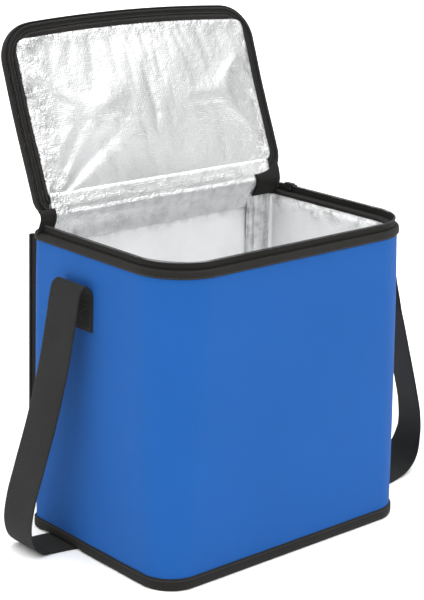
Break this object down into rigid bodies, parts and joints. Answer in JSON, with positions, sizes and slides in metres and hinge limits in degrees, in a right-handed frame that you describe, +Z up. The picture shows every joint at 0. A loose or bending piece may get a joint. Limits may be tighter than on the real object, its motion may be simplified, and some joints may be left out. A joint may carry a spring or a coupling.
{
  "type": "insulated cooler bag",
  "caption": "Soft insulated cooler bag with a foil lining, a zipped lid hinged along the rear, a rear pocket and a sewn shoulder strap.",
  "frame": {"origin": "middle of the base, on the surface that the bag stands on", "axes": "+Z up; -Y is the front and the lid hinges along the +Y side; X is the width, with the strap's sewn ends at -X and +X"},
  "size_m": [0.4235, 0.2343, 0.4395],
  "materials": {
    "blue_polyester": "matte woven polyester",
    "black_polyester": "matte woven polyester",
    "black_binding": "ribbed binding tape",
    "webbing": "woven webbing",
    "zip_tape": "woven zip tape",
    "zip_coil": "moulded coil",
    "zip_metal": "black enamel",
    "foil_lining": "metallised film, embossed",
    "insulation_foam": "closed-cell foam",
    "base_board": "sheet plastic"
  },
  "bodies": {
    "bag": {"outer_wrap": "blue_polyester", "wall_foam": "insulation_foam", "back_panel": "black_polyester", "foil_liner": "foil_lining", "base_panel": "black_polyester", "base_board": "base_board", "base_foam": "insulation_foam", "bottom_binding": "black_binding", "rim_binding": "black_binding", "rim_zip_tape": "zip_tape", "rim_zip_coil": "zip_coil", "pocket_panel": "black_polyester", "pocket_gusset": "black_polyester", "pocket_binding": "black_binding", "hinge_strip_body": "foil_lining", "hinge_tab_left": "black_binding", "hinge_tab_right": "black_binding", "shoulder_strap": "webbing", "zip_stop_left": "zip_metal", "zip_stop_right": "zip_metal"},
    "lid": {"lid_cover": "blue_polyester", "lid_foam": "insulation_foam", "lid_foil": "foil_lining", "lid_binding": "black_binding", "lid_zip_tape": "zip_tape", "lid_zip_coil": "zip_coil", "lid_seam_tape": "black_binding", "hinge_strip_lid": "foil_lining"},
    "slider": {"zip_slider": "zip_metal"},
    "pull": {"zip_pull": "zip_metal"}
  },
  "joints": [
    {"name": "lid_hinge", "type": "hinge", "parent": "bag", "child": "lid", "pos_m": [0, 0.0775, 0.28], "axis": [-1, 0, 0], "range_deg": [-110, 65]},
    {"name": "slider_travel", "type": "slide", "parent": "bag", "child": "slider", "axis": [0, -1, 0], "range_m": [0, 0.105]},
    {"name": "pull_swing", "type": "hinge", "parent": "slider", "child": "pull", "pos_m": [0.1432, 0.066, 0.2733], "axis": [0, -1, 0], "range_deg": [0, 110]}
  ]
}
